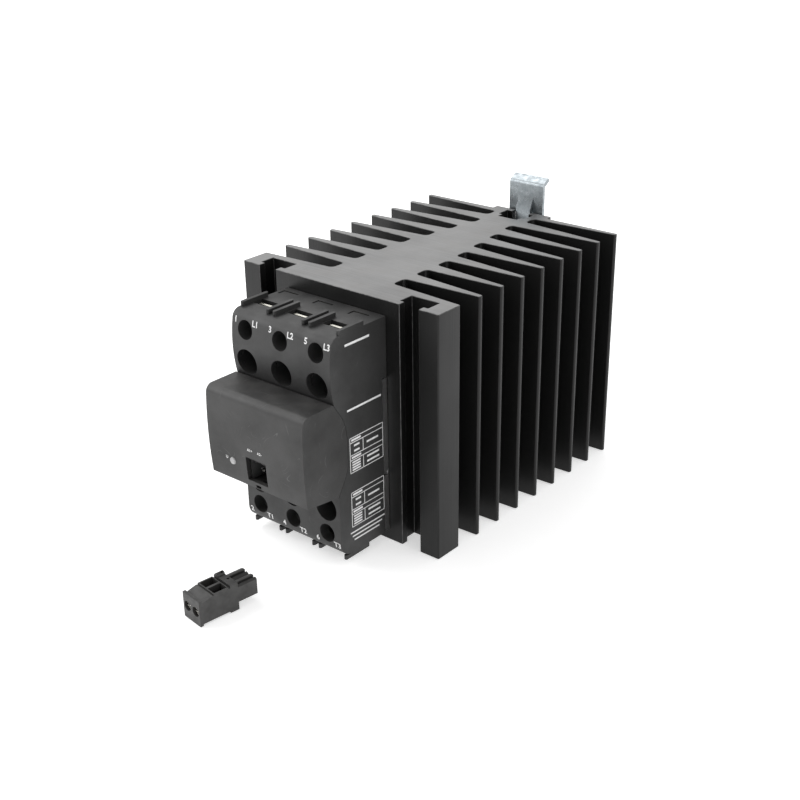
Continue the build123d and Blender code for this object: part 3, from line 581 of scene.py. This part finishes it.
def print_on_front(name, text, x, z, size, arcs, flat):
    """The text laid on a front face: its x and y become X and Z, and Y follows the face's depth."""
    mesh = flat_text(text, size)
    points = np.empty(3 * len(mesh.vertices))
    mesh.vertices.foreach_get("co", points)
    points = points.reshape(-1, 3)
    height = points[:, 1] + z
    depth = front_depth(height, arcs, flat) + INK_STANDS
    laid = np.stack([points[:, 0] + x, PAD_Y - depth, height], axis=1) * MM
    mesh.vertices.foreach_set("co", laid.ravel())
    mesh.update()
    return add_piece(name, mesh, ink, "relay")


# %% Terminal numbers
MARK_SIZE = 3.2
MARK_ROWS = ((0, 90.6, "L"), (1, 9.6, "T"))
for place, x in enumerate(POLE_X):
    for row, z, letter in MARK_ROWS:
        number = 2 * place + 1 + row
        print_on_front(f"number_{number}", str(number), x - 5.0, z, MARK_SIZE,
                       HOUSING_ARCS, HOUSING_FLAT)
        print_on_front(f"mark_{letter}{place + 1}", f"{letter}{place + 1}", x + 5.1, z, MARK_SIZE,
                       HOUSING_ARCS, HOUSING_FLAT)
for name, text, x in (("mark_A1", "A1+", -2.6), ("mark_A2", "A2-", 2.4)):
    print_on_front(name, text, x, 48.8, 1.5, COVER_ARC, COVER_FLAT)
print_on_front("mark_U", "U", -15.4, 42.2, 1.7, COVER_ARC, COVER_FLAT)
print("marks:", 4 * len(POLE_X) + 3)

# %% [markdown]
# ## Rating tables on the side
# The side carries two small ruled tables. Here they are plain: ruled lines and solid bars where
# entries would be, with no wording.


# %% Rules and bars
def bars_mesh(name, bars):
    """Flat rectangles on the right side: each bar is (front depth, back depth, low, high)."""
    bars = np.array(bars, float)
    x = np.full((len(bars), 4), SIDE_X + INK_STANDS)
    y = PAD_Y - bars[:, [0, 1, 1, 0]]
    z = bars[:, [2, 2, 3, 3]]
    points = np.stack([x, y, z], axis=-1).reshape(-1, 3) * MM
    mesh = bpy.data.meshes.new(name)
    mesh.from_pydata(points, [], np.arange(len(points)).reshape(-1, 4).tolist())
    return mesh


def ruled_table(low, high, front=21.5, back=3.2, column=14.3, line=0.16, entry=0.4):
    """Bars of one table: its outer rules, a column rule, row rules and short entries. line and
    entry are half the thickness of a rule and of an entry."""
    rows = low + (high - low) * np.array([0.0, 0.36, 0.5, 0.86, 1.0])
    bars = [(front, back, z - line, z + line) for z in rows]
    bars += [(d + line, d - line, low, high) for d in (front, back)]
    bars += [(column + line, column - line, *span) for span in ((low, rows[1]), (rows[2], rows[3]))]
    left = np.linspace(rows[0] + 1.0, rows[1] - 1.0, 4)
    bars += [(front - 1.0, column + 1.6, z - 0.32, z + 0.32) for z in left]
    bars += [(front - 2.2, column + 2.0, z - entry, z + entry)
             for z in (rows[2] + 1.5, rows[3] - 1.5)]
    bars += [(column - 2.0, back + 2.2, z - entry, z + entry)
             for z in (rows[0] + 1.6, rows[1] - 1.5)]
    between = (rows[2] + rows[3]) / 2
    bars += [(column - 2.0, back + 2.6, between - entry, between + entry)]
    bars += [(front - 0.8, front - 6.0, z - entry, z + entry)
             for z in (rows[4] - 1.0, rows[2] - 1.0)]
    return bars


side_bars = ruled_table(38.1, 52.4) + ruled_table(15.3, 29.8)
side_bars += [(22.6, 9.5, 89.0, 89.9), (22.4, 3.8, 63.5, 64.3)]
side_bars += [(22.6 - k, 3.0 + 1.6 * k, 12.6 - 1.7 * k, 13.2 - 1.7 * k) for k in range(3)]
add_piece("side_tables", bars_mesh("side_tables", side_bars), ink, "relay")
print(len(side_bars), "bars on the side")

# %% [markdown]
# ## Floor, light and camera
# The unit stands on a plain pale floor that runs far back, so that it melts into the background.
# One large soft light above and behind gives the sawn top its sheen, one above on the left catches
# the clip's lip, one on the left lights the front, and a weaker one on the right keeps the fins
# readable.

# %% Floor
FLOOR_GLOW, FLOOR_REACH, FLOOR_DROP = 0.5, 3.0, 0.3
sides = (-FLOOR_REACH, FLOOR_REACH)
floor_mesh = grid_mesh("floor", np.array([[(x, y, 0.0) for y in sides] for x in sides]))
floor_paint = bpy.data.materials.new("floor_paint")
floor_paint.use_nodes = True
paint = floor_paint.node_tree.nodes["Principled BSDF"].inputs
paint["Base Color"].default_value = (0.90, 0.90, 0.90, 1)
paint["Roughness"].default_value = 0.9
paint["Specular IOR Level"].default_value = 0.1
paint["Emission Color"].default_value = (1.0, 1.0, 1.0, 1)
paint["Emission Strength"].default_value = FLOOR_GLOW
floor_mesh.materials.append(floor_paint)
floor = bpy.data.objects.new("floor", floor_mesh)
bpy.context.scene.collection.objects.link(floor)
floor.location.z = -FLOOR_DROP * MM
print("floor", 2 * FLOOR_REACH, "m square")


# %% Lights
SUBJECT = (0, 0, 0.05)
WORLD_GLOW = 0.64


def soft_light(name, place, size, watts, aim=SUBJECT):
    """A square white area light at place that looks at aim; places and size in metres."""
    lamp = bpy.data.lights.new(name, "AREA")
    lamp.size, lamp.energy = size, watts
    holder = bpy.data.objects.new(name, lamp)
    bpy.context.scene.collection.objects.link(holder)
    holder.location = place
    direction = Vector(aim) - Vector(place)
    holder.rotation_euler = direction.to_track_quat("-Z", "Y").to_euler()


soft_light("top_back", (-0.55, 0.75, 0.85), 0.9, 2.6)
soft_light("top_left", (-0.7, 0.05, 1.0), 0.6, 3.0)
soft_light("front_left", (-0.9, -0.55, 0.55), 0.8, 7.0, aim=(0, -0.05, 0.05))
soft_light("right", (0.95, 0.1, 0.5), 0.7, 2.4)
world = bpy.data.worlds.new("studio")
bpy.context.scene.world = world
world.use_nodes = True
background = world.node_tree.nodes["Background"].inputs
background["Color"].default_value = (1.0, 1.0, 1.0, 1.0)
background["Strength"].default_value = WORLD_GLOW
bpy.context.scene.view_settings.view_transform = "Standard"
print(len(bpy.data.lights), "lights")

# %% [markdown]
# The camera looks down at the unit from the front right with a long lens, so that upright edges stay
# nearly parallel. Angles are in degrees; the aim, the distance and the lens are in millimetres.

# %% Camera
AZIMUTH, ELEVATION, ROLL = 40.25, 24.84, -0.837
TARGET = (5.47, 30.0 + PAD_Y, 43.90)
DISTANCE, FOCAL, SENSOR = 515.4, 57.36, 36.0
turned, raised = math.radians(AZIMUTH), math.radians(ELEVATION)
back = Vector((math.sin(turned) * math.cos(raised), -math.cos(turned) * math.cos(raised),
                  math.sin(raised)))
lens = bpy.data.cameras.new("camera")
lens.lens, lens.sensor_width = FOCAL, SENSOR
lens.clip_start, lens.clip_end = 0.01, 20.0
camera = bpy.data.objects.new("camera", lens)
bpy.context.scene.collection.objects.link(camera)
camera.location = (Vector(TARGET) + back * DISTANCE) * MM
look = (-back).to_track_quat("-Z", "Y").to_matrix()
roll = Matrix.Rotation(math.radians(ROLL), 3, "Z")
camera.rotation_euler = (look @ roll).to_euler()
bpy.context.scene.camera = camera
print("camera at", [round(value, 4) for value in camera.location])
